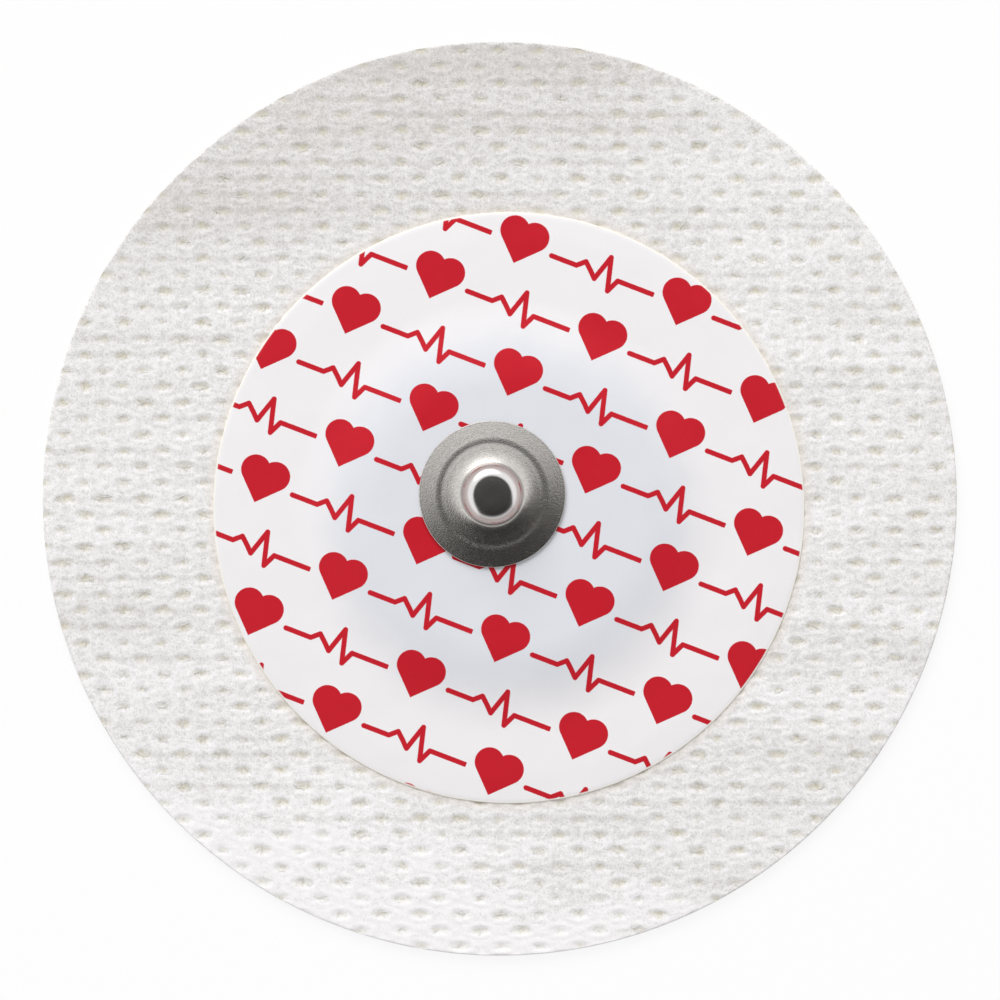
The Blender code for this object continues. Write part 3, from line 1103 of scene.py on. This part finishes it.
@dataclass(frozen=True)
class FilmFinish:
    """White label film with a low sheen, cooler where the gel pad's well lies under it.

    A field that ends in share says how much its part hides what is under it, and one that ends in rise how
    much it stands out.
    """

    white: Colour = (0.915, 0.890, 0.905)
    over_well: Colour = (0.755, 0.775, 0.825)
    # Painted highlight: a pale cream band along the film's cut edge.
    edge_highlight: Colour = (0.97, 0.945, 0.88)
    ink_colour: Colour = (0.60, 0.001, 0.014)
    shade: float = 0.8
    ink_shade: float = 0.78
    roughness: float = 0.38
    ink_roughness: float = 0.30
    gloss: float = 0.17
    rise: float = 0.12 * MM
    well_share: float = 0.9
    grain_shade: float = 0.10
    grain_roughness: float = 0.12
    grain_rise: float = 0.04
    wave_rise: float = 0.8
    ink_share: float = 0.985
    ink_rise: float = 0.02
    patch_share: float = 0.35
    edge_highlight_width: float = 0.14 * MM
    well_border: tuple[float, float] = (1.0 * MM, -2.7 * MM)
    well_wander: float = 2.2 * MM
    cloud: Grain = Grain(3.0 * MM, 2.0)
    grain: Grain = Grain(0.09 * MM, 2.0, 0.6)
    wave: Grain = Grain(4.0 * MM)
    patch: Grain = Grain(0.5 * MM, 3.0)
    design: HeartPrint = HeartPrint()

    def build(self, name: str, layers: Laminate, printed: bool) -> bpy.types.Material:
        """The film's material.

        Args:
            name: the material's name.
            layers: the laminate's sizes.
            printed: whether this side carries the print.

        Returns:
            The material.
        """
        material, graph = new_material(name)
        place = graph.place()
        far = graph.distance(place, *layers.well) + (self.cloud.on(graph, place) - 0.5) * self.well_wander
        well = graph.fade(far, *(layers.well_radius + border for border in self.well_border))
        grain = self.grain.on(graph, place)
        film = graph.mix(well * self.well_share, self.white, self.over_well)
        darker = (grain - 0.5) * self.grain_shade + self.grain_shade / 2
        film = graph.mix(darker, film, shaded(self.white, self.shade))
        relief = self.wave.on(graph, place) * self.wave_rise + grain * self.grain_rise
        rough: Value = self.roughness + (grain - 0.5) * self.grain_roughness
        if printed:
            from_middle = graph.vector_math("SUBTRACT", graph.flat(place), (*layers.label, 0))
            ink = self.design.ink(graph, from_middle)
            patchy = self.patch.on(graph, place) * self.patch_share
            ink_colour = graph.mix(patchy, self.ink_colour, shaded(self.ink_colour, self.ink_shade))
            film = graph.mix(ink * self.ink_share, film, ink_colour)
            rough = graph.mix(ink, rough, self.ink_roughness, MixKind.NUMBER)
            relief = relief + ink * self.ink_rise
            # Painted highlight along the film's cut edge, where it catches the light.
            inside = layers.label_radius - graph.distance(place, *layers.label)
            film = graph.mix(graph.fade(inside, self.edge_highlight_width, self.edge_highlight_width / 3), film, self.edge_highlight)
        close_surface(
            graph,
            {
                "Base Color": film,
                "Roughness": rough,
                "Specular IOR Level": self.gloss,
                "Normal": bump(graph, relief, self.rise),
            },
        )
        return material


@dataclass
class PrintLabel:
    """The film over the well, domed over the pad and stuck down round it."""

    layers: Laminate
    finish: FilmFinish = field(default_factory=FilmFinish)
    steps: int = 288
    hole_clearance: float = 0.12 * MM
    edge_round: float = 0.045 * MM
    corner_share: float = 0.3
    pressed_edge: float = 1.6 * MM
    bridge: float = 1.6 * MM
    edge_sink: float = 0.05 * MM
    downward: float = -0.2

    def upper_rings(self) -> list[Ring]:
        """The film's upper face.

        Returns:
            Its rings, from the post's hole out to the film's edge.
        """
        lay = self.layers
        crown, land = lay.label_crown + lay.label_thickness, lay.label_land + lay.label_thickness
        rings = [Ring(lay.stud, lay.post_radius + self.hole_clearance, crown)]
        rings += between(rings[-1], Ring(lay.well, lay.pad_radius, crown), 8)
        slope = eased_slope((lay.pad_radius, crown), (lay.well_radius + self.bridge, land), 24)
        rings += [Ring(lay.well, radius, height) for radius, height in slope[1:]]
        rings += between(rings[-1], Ring(lay.label, lay.label_radius - self.pressed_edge, land), 10)
        land -= self.edge_sink
        rings += between(rings[-1], Ring(lay.label, lay.label_radius - self.edge_round, land), 5)
        corner = self.edge_round * self.corner_share
        rings.append(Ring(lay.label, lay.label_radius - corner, land - corner))
        rings.append(Ring(lay.label, lay.label_radius, land - self.edge_round))
        return rings

    def build(self) -> None:
        """Makes the label, printed on its upper face and plain below."""
        upper = self.upper_rings()
        thickness = self.layers.label_thickness
        lower = [Ring(r.centre, r.radius, r.height - thickness) for r in reversed(upper[:-1])]
        corner = self.edge_round * self.corner_share
        lower.insert(0, Ring(upper[-1].centre, upper[-1].radius, lower[0].height + corner))
        label = loft("print_label_film", upper + lower, self.steps, closed=True)
        printed = self.finish.build("printed_label_film", self.layers, True)
        plain = self.finish.build("label_film_underside", self.layers, False)
        dress(label, printed, "label_film", "print_label")
        label.data.materials.append(plain)
        for face in label.data.polygons:
            face.material_index = 1 if face.normal.z < self.downward else 0


# Snap stud


@dataclass(frozen=True)
class NickelFinish:
    """Satin nickel plate, finer on the ball, with painted shade over the ball, a painted highlight on its
    shoulder, a painted reflection on its flank and painted shade in the undercut under it.

    The flank's and the undercut shade's heights count from the ball's widest place, the shoulder's radii from
    its middle. A field that ends in roughness, dark or rise says how much its part adds to that.
    """

    colour: Colour = (0.66, 0.634, 0.602)
    # Painted shade: a darker copy of the nickel over the whole ball.
    ball_shade_colour: Colour = (0.49, 0.47, 0.445)
    # Painted highlight: a pale ring on the ball's shoulder.
    shoulder_highlight_colour: Colour = (0.84, 0.815, 0.82)
    # Painted reflection: a darker mauve band on the ball's flank.
    flank_reflection_colour: Colour = (0.47, 0.40, 0.38)
    # Painted shade in the undercut under the ball.
    undercut_shade_colour: Colour = (0.16, 0.145, 0.135)
    shade: float = 0.62
    satin: float = 0.23
    polished: float = 0.185
    rise: float = 0.0100 * MM
    grain: Grain = Grain(0.11 * MM, 2.0, 0.8)
    mottle: Grain = Grain(0.30 * MM, 2.0, 0.6)
    drawing: Grain = Grain(0.10 * MM, 2.0, 0.7)
    grain_roughness: float = 0.15
    mottle_roughness: float = 0.10
    ball_roughness: float = 0.08
    plain_dark: float = 0.15
    grain_dark: float = 1.8
    mottle_dark: float = 0.6
    grain_rise: float = 0.7
    mottle_rise: float = 0.2
    drawing_rise: float = 0.4
    ball_evenness: float = 0.7
    ball_smoothness: float = 0.72
    ball_shade_share: float = 0.75
    shoulder_highlight_share: float = 0.85
    flank_reflection_share: float = 0.9
    ball: tuple[float, float] = (-0.90 * MM, -0.65 * MM)
    shoulder: tuple[float, float] = (1.12 * MM, 1.28 * MM)
    flank: tuple[float, float] = (0.83 * MM, 0.70 * MM)
    undercut_shade: tuple[float, float] = (-1.33 * MM, -1.22 * MM)

    def build(self, name: str, layers: Laminate, ball_middle: float) -> bpy.types.Material:
        """The stud's material.

        Args:
            name: the material's name.
            layers: the laminate's sizes.
            ball_middle: the height of the ball's widest place.

        Returns:
            The material.
        """
        material, graph = new_material(name)
        place = graph.place()
        _, _, height = graph.split(place)
        height = height - ball_middle
        radius = graph.distance(place, *layers.stud)
        ball = graph.fade(height, *self.ball)
        shoulder = graph.fade(radius, *self.shoulder) * ball
        flank = graph.fade(height, *self.flank) * ball
        # Where the painted shade in the undercut lies.
        undercut_shade = graph.fade(height, *self.undercut_shade) * (1 - ball)
        grain = self.grain.on(graph, place)
        mottle = self.mottle.on(graph, place)
        drawn = self.drawing.on(graph, graph.join(radius, 0.0))

        satin = self.satin + (grain - 0.5) * self.grain_roughness + (mottle - 0.5) * self.mottle_roughness
        polished = self.polished + (grain - 0.5) * self.ball_roughness
        dark = self.plain_dark + (mottle - 0.5) * self.mottle_dark
        dark = graph.clamp(dark + (grain - 0.5) * self.grain_dark * (1 - ball * self.ball_evenness))
        colour = graph.mix(dark, self.colour, shaded(self.colour, self.shade))
        # Painted shade: a darker copy of the nickel over the whole ball.
        colour = graph.mix(ball * self.ball_shade_share, colour, self.ball_shade_colour)
        # Painted highlight: a pale ring on the ball's shoulder.
        colour = graph.mix(shoulder * self.shoulder_highlight_share, colour, self.shoulder_highlight_colour)
        # Painted reflection: a darker mauve band on the ball's flank.
        colour = graph.mix(flank * self.flank_reflection_share, colour, self.flank_reflection_colour)
        relief = grain * self.grain_rise + mottle * self.mottle_rise + drawn * self.drawing_rise
        relief = relief * (1 - ball * self.ball_smoothness)
        close_surface(
            graph,
            {
                # Painted shade in the undercut under the ball.
                "Base Color": graph.mix(undercut_shade, colour, self.undercut_shade_colour),
                "Metallic": 1.0,
                "Roughness": graph.mix(ball, satin, polished, MixKind.NUMBER),
                "Normal": bump(graph, relief, self.rise),
            },
        )
        return material


@dataclass
class SnapStud:
    """The stud, one sheet drawn into flange, crown, neck and ball; radii and heights over its rim."""

    layers: Laminate
    finish: NickelFinish = field(default_factory=NickelFinish)
    steps: int = 192
    sheet: float = 0.22 * MM
    ball_radius: float = 2.03 * MM
    ball_round: float = 0.90 * MM
    neck_radius: float = 1.75 * MM
    neck_length: float = 0.064 * MM
    fillet: float = 0.66 * MM
    flange_radius: float = 4.80 * MM
    flange_fall: float = 0.1105
    crown_fall: float = 0.30
    crown_reach: float = 0.80 * MM
    groove_radius: float = 3.50 * MM
    groove_reach: float = 0.29 * MM
    groove_share: float = 0.85
    rim_round: float = 0.035 * MM
    rim_reach: float = 0.02 * MM
    skirt_steps: int = 60
    ball_steps: int = 26
    fillet_steps: int = 16
    rim_steps: int = 4

    def skirt(self, inner: float, outer: float, steps: int) -> list[Point]:
        """Crown and flange, whose fall eases from the boss outwards and levels out in a groove.

        Args:
            inner: the radius at which they start.
            outer: the radius at which they end.
            steps: how many stretches they have.

        Returns:
            The (radius, height) points, from the inner one to the outer one.
        """
        points = [(outer, self.sheet + self.flange_fall * self.rim_round)]
        stretch = (outer - inner) / steps
        for _ in range(steps):
            radius, height = points[-1]
            aside = min(abs(radius - stretch / 2 - self.groove_radius) / self.groove_reach, 1.0)
            fall = self.flange_fall * (1 - self.groove_share * (1 - aside**2) ** 2)
            eased = max(1 - (radius - stretch / 2 - inner) / self.crown_reach, 0.0)
            fall += (self.crown_fall - self.flange_fall) * eased**2
            points.append((radius - stretch, height + fall * stretch))
        return points[::-1]

    def outer_section(self) -> list[Point]:
        """The sheet's outer face.

        Returns:
            The (radius, height) points, from the middle of the top to the rim.
        """
        boss, slant = self.neck_radius + self.fillet, math.atan(self.crown_fall)
        foot = boss - self.fillet * math.sin(slant)
        skirt = self.skirt(foot, self.flange_radius - self.rim_round, self.skirt_steps)
        neck_foot = skirt[0][1] + math.sqrt(self.fillet**2 - (boss - foot) ** 2)
        undercut = math.acos(1 - (self.ball_radius - self.neck_radius) / self.ball_round)
        middle = neck_foot + self.neck_length + self.ball_round * math.sin(undercut)
        ball_centre = (self.ball_radius - self.ball_round, middle)
        points = [(0.0, middle + self.ball_round), (ball_centre[0] / 2, middle + self.ball_round)]
        points += arc(ball_centre, self.ball_round, 90, -math.degrees(undercut), self.ball_steps)
        points += arc((boss, neck_foot), self.fillet, 180, 270 - math.degrees(slant), self.fillet_steps)
        points += skirt[1:]
        rim, height = skirt[-1]
        points += arc((rim, height - self.rim_round), self.rim_round, 80, 0, self.rim_steps)
        return points

    def inner_section(self, outer: list[Point]) -> list[Point]:
        """The sheet's other face.

        Args:
            outer: the outer face's points.

        Returns:
            The (radius, height) points, from the rim back to the middle.
        """
        inner = []
        for (r0, z0), (r1, z1) in zip(outer, outer[1:]):
            if z0 < self.sheet + self.rim_reach:
                continue
            run, fall = r1 - r0, z1 - z0
            length = math.hypot(run, fall)
            if length:
                radius = (r0 + r1) / 2 + fall / length * self.sheet
                inner.append((max(radius, 0.0), (z0 + z1) / 2 - run / length * self.sheet))
        return [(outer[-1][0], self.rim_round * 0.5), (outer[-1][0] - self.rim_round, 0.0), *reversed(inner)]

    def build(self) -> None:
        """Makes the stud in place of the coarser solid."""
        outer = self.outer_section()
        section = outer + self.inner_section(outer)
        section.append((0.0, outer[0][1] - self.sheet))
        base = self.layers.stud_bottom
        rings = [Ring(self.layers.stud, radius, base + height) for radius, height in section]
        stud = loft("snap_stud_drawn", rings, self.steps)
        ball_middle = base + outer[0][1] - self.ball_round
        dress(stud, self.finish.build("satin_nickel", self.layers, ball_middle), "satin_nickel", "snap_stud")


# Gel pad and sensing eyelet


@dataclass(frozen=True)
class GelFinish:
    """Wet sponge gel: pale, finely pored, with the grey of the sensor showing through.

    A field that ends in shade, roughness or rise says how much its part adds to that.
    """

    colour: Colour = (0.72, 0.79, 0.83)
    deep: Colour = (0.52, 0.58, 0.62)
    roughness: float = 0.18
    wet_coat: float = 0.6
    coat_roughness: float = 0.08
    rise: float = 0.08 * MM
    cell_size: float = 0.42 * MM
    pore_edge: tuple[float, float] = (0.42, 0.10)
    cloud: Grain = Grain(1.6 * MM, 3.0)
    sensor_border: tuple[float, float] = (0.5 * MM, -0.4 * MM)
    pore_shade: float = 0.35
    cloud_shade: float = 0.35
    sensor_shade: float = 0.45
    pore_roughness: float = 0.25
    pore_rise: float = 0.5
    cloud_rise: float = 0.5

    def build(self, name: str, layers: Laminate, sensor_radius: float) -> bpy.types.Material:
        """The gel pad's material.

        Args:
            name: the material's name.
            layers: the laminate's sizes.
            sensor_radius: the radius of the eyelet's flange, which shows through the gel.

        Returns:
            The material.
        """
        material, graph = new_material(name)
        place = graph.place()
        cells = graph.wire("ShaderNodeTexVoronoi", None, {"Vector": place, "Scale": 1 / self.cell_size})
        pores = graph.fade(cells, *self.pore_edge)
        clouds = self.cloud.on(graph, place)
        far = graph.distance(place, *layers.stud)
        sensor = graph.fade(far, *(sensor_radius + border for border in self.sensor_border))
        shade = pores * self.pore_shade + clouds * self.cloud_shade + sensor * self.sensor_shade
        close_surface(
            graph,
            {
                "Base Color": graph.mix(graph.clamp(shade), self.colour, self.deep),
                "Roughness": self.roughness + pores * self.pore_roughness,
                "Coat Weight": self.wet_coat,
                "Coat Roughness": self.coat_roughness,
                "Normal": bump(graph, clouds * self.cloud_rise - pores * self.pore_rise, self.rise),
            },
        )
        return material


@dataclass(frozen=True)
class SensorFinish:
    """Dull grey silver and silver chloride on a moulded eyelet."""

    colour: Colour = (0.46, 0.45, 0.47)
    dark: Colour = (0.36, 0.34, 0.37)
    metal: float = 0.4
    roughness: float = 0.55
    rise: float = 0.02 * MM
    bloom: Grain = Grain(0.6 * MM, 4.0, 0.6)
    grain: Grain = Grain(0.06 * MM, 2.0)
    bloom_roughness: float = 0.2
    bloom_rise: float = 0.4
    grain_rise: float = 0.6

    def build(self, name: str) -> bpy.types.Material:
        """The eyelet's material.

        Args:
            name: the material's name.

        Returns:
            The material.
        """
        material, graph = new_material(name)
        place = graph.place()
        bloom = self.bloom.on(graph, place)
        relief = self.grain.on(graph, place) * self.grain_rise + bloom * self.bloom_rise
        close_surface(
            graph,
            {
                "Base Color": graph.mix(bloom, self.colour, self.dark),
                "Metallic": self.metal,
                "Roughness": self.roughness + (bloom - 0.5) * self.bloom_roughness,
                "Normal": bump(graph, relief, self.rise),
            },
        )
        return material


@dataclass
class GelPad:
    """The sponge in the well, with the bed that the eyelet's flange presses into it."""

    layers: Laminate
    finish: GelFinish = field(default_factory=GelFinish)
    steps: int = 224
    bed_radius: float = 4.23 * MM
    bed_floor: float = 0.81 * MM
    bed_foot: tuple[float, float] = (0.1 * MM, 0.06 * MM)
    bed_slant: float = 0.02 * MM
    bed_lip: tuple[float, float] = (0.10 * MM, 0.08 * MM)
    edge_round: float = 0.26 * MM

    def build(self) -> None:
        """Makes the pad: flat where it lies on the skin, with a soft rolled edge."""
        lay = self.layers
        rings = [Ring(lay.stud, 0.0, self.bed_floor)]
        foot_width, foot_height = self.bed_foot
        lip_width, lip_height = self.bed_lip
        corner = Ring(lay.stud, self.bed_radius - foot_width, self.bed_floor)
        rings += between(Ring(lay.stud, 0.4 * MM, self.bed_floor), corner, 4)
        rings += [
            Ring(lay.stud, self.bed_radius, self.bed_floor + foot_height),
            Ring(lay.stud, self.bed_radius + self.bed_slant, lay.pad_top - lip_height),
            Ring(lay.stud, self.bed_radius + lip_width, lay.pad_top),
        ]
        flat = lay.pad_radius - self.edge_round
        rings += between(rings[-1], Ring(lay.well, flat, lay.pad_top), 8)
        section = arc((flat, lay.pad_top - self.edge_round), self.edge_round, 75, 0, 5)
        section += arc((flat, self.edge_round), self.edge_round, 0, -75, 5)
        rings += [Ring(lay.well, radius, height) for radius, height in section]
        rings += between(Ring(lay.well, flat, 0.0), Ring(lay.well, 0.3 * MM, 0.0), 10)
        rings.append(Ring(lay.well, 0.0, 0.0))
        pad = loft("gel_pad_sponge", rings, self.steps)
        dress(pad, self.finish.build("pale_gel_sponge", lay, self.bed_radius), "gel_sponge", "gel_pad")


@dataclass
class Eyelet:
    """The sensing eyelet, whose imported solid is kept."""

    node: bpy.types.Object
    finish: SensorFinish = field(default_factory=SensorFinish)

    def build(self) -> None:
        """Gives the solid its coat."""
        self.node.data.materials.clear()
        self.node.data.materials.append(self.finish.build("silver_chloride_coat"))
        LOG.info("%s: kept", self.node.name)


# Studio


@dataclass(frozen=True)
class Lamp:
    """A soft round lamp that looks at the origin."""

    name: str
    azimuth: float
    elevation: float
    distance: float
    size: float
    share: float
    mirrored: bool = True

    def build(self) -> None:
        """Hangs the lamp. Its share is how bright it alone makes white paper that lies at the origin."""
        data = bpy.data.lights.new(self.name, "AREA")
        data.shape = "DISK"
        data.size = self.size
        rise = math.radians(self.elevation)
        data.energy = self.share * math.pi**2 * self.distance**2 / math.sin(rise)
        turn = math.radians(self.azimuth)
        way = Vector((math.cos(turn) * math.cos(rise), math.sin(turn) * math.cos(rise), math.sin(rise)))
        lamp = bpy.data.objects.new(self.name, data)
        lamp.location = way * self.distance
        lamp.visible_glossy = self.mirrored
        lamp.rotation_euler = way.to_track_quat("Z", "Y").to_euler()
        bpy.context.scene.collection.objects.link(lamp)


def seen_rays(graph: Graph, path: bpy.types.Node) -> Wire:
    """Tells the rays by which the surroundings are seen from those that light the pieces.

    Args:
        graph: the floor's or the surround's graph.
        path: its Light Path node.

    Returns:
        1 for the rays that see the surroundings, directly or in a gloss, and 0 for the rest.
    """
    names = ("Is Camera Ray", "Is Glossy Ray", "Is Transmission Ray")
    camera, glossy, through = (Wire(graph, path.outputs[name]) for name in names)
    return graph.clamp(camera + glossy + through)


@dataclass
class Studio:
    """Floor, surround, lamps and camera."""

    layers: Laminate
    pixels: float = 1000.0
    pixels_per_metre: float = 15233.0
    cloth_middle: tuple[float, float] = (499.84, 498.69)
    camera_height: float = 0.60
    sensor: float = 36.0
    floor_radius: float = 3.0
    floor_top: float = -0.03 * MM
    floor_matt: Colour = (0.94, 0.94, 0.94)
    floor_glow: float = 0.87
    surround: float = 0.48
    unlit_shade: Colour = (0.030, 0.0275, 0.0265)
    lit_side: float = 104.0
    lit_curve: float = 1.9
    lit_border: tuple[float, float] = (0.26, 0.05)
    ceiling: tuple[float, float] = (0.46, 0.86)
    dim_share: float = 0.25
    lamps: tuple[Lamp, ...] = (
        Lamp("key_lamp", 108.0, 40.0, 1.20, 1.05, 0.40, mirrored=False),
        Lamp("glint_lamp", 108.0, 40.0, 1.15, 1.05, 0.18),
    )

    def build_floor(self) -> None:
        """Lays a pale floor that looks white and keeps the shadow."""
        top = self.floor_top
        rings = between(Ring((0, 0), 50 * MM, top), Ring((0, 0), self.floor_radius, top), 3)
        floor = loft("floor", [Ring((0, 0), 0.0, top), *rings], 96)
        material, graph = new_material("pale_floor")
        path = graph.node("ShaderNodeLightPath")
        seen = seen_rays(graph, path)
        matt = graph.wire("ShaderNodeBsdfDiffuse", None, {"Color": (*self.floor_matt, 1.0)})
        glow = graph.wire("ShaderNodeEmission", None, {"Color": (1.0, 1.0, 1.0, 1.0), "Strength": 1.0})
        surface = graph.wire("ShaderNodeMixShader", None, {0: seen * self.floor_glow, 1: matt, 2: glow})
        graph.node("ShaderNodeOutputMaterial", None, {"Surface": surface})
        floor.data.materials.append(material)

    def build_surround(self) -> None:
        """Surrounds the scene with white, dim on matt surfaces, under a ceiling that is lit on one side."""
        world = bpy.data.worlds.new("studio")
        world.use_nodes = True
        bpy.context.scene.world = world
        graph = Graph(world.node_tree)
        way = graph.wire("ShaderNodeTexCoord", None, None, "Generated")
        side, along, height = graph.split(graph.turned(way, -self.lit_side))
        overhead = graph.fade(height, *self.ceiling) * (1 - self.dim_share) + self.dim_share
        unlit = graph.fade(side + along**2 * self.lit_curve, *self.lit_border) * overhead
        path = graph.node("ShaderNodeLightPath")
        seen = seen_rays(graph, path)
        glossy = Wire(graph, path.outputs["Is Glossy Ray"])
        colour = graph.mix(unlit * glossy, (1.0, 1.0, 1.0), self.unlit_shade)
        strength = self.surround + seen * (1 - self.surround)
        light = graph.wire("ShaderNodeBackground", None, {"Color": colour, "Strength": strength})
        graph.node("ShaderNodeOutputWorld", None, {"Surface": light})

    def build_camera(self) -> None:
        """Hangs the camera straight above, so that the cloth falls where the portrait has it."""
        frame_width = self.pixels / self.pixels_per_metre
        data = bpy.data.cameras.new("portrait")
        data.sensor_width = self.sensor
        data.lens = self.sensor * self.camera_height / frame_width
        data.clip_start = 0.01
        camera = bpy.data.objects.new("portrait", data)
        middle = self.pixels / 2
        camera.location = (
            (middle - self.cloth_middle[0]) / self.pixels_per_metre,
            (self.cloth_middle[1] - middle) / self.pixels_per_metre,
            self.layers.cloth_top + self.camera_height,
        )
        bpy.context.scene.collection.objects.link(camera)
        bpy.context.scene.camera = camera

    def build(self) -> None:
        """Makes the whole studio."""
        self.build_floor()
        self.build_surround()
        for lamp in self.lamps:
            lamp.build()
        self.build_camera()
        bpy.context.scene.view_settings.view_transform = "Standard"


def main() -> None:
    """Loads the frame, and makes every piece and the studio."""
    logging.basicConfig(level=logging.INFO, format="%(name)s: %(message)s")
    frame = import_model()
    layers = Laminate()

    SkinAdhesive(layers).build()
    ClothBacking(layers).build()
    GelPad(layers).build()
    Eyelet(frame["nodes"]["eyelet"]).build()
    PrintLabel(layers).build()
    SnapStud(layers).build()
    Studio(layers).build()


if __name__ == "__main__":
    main()
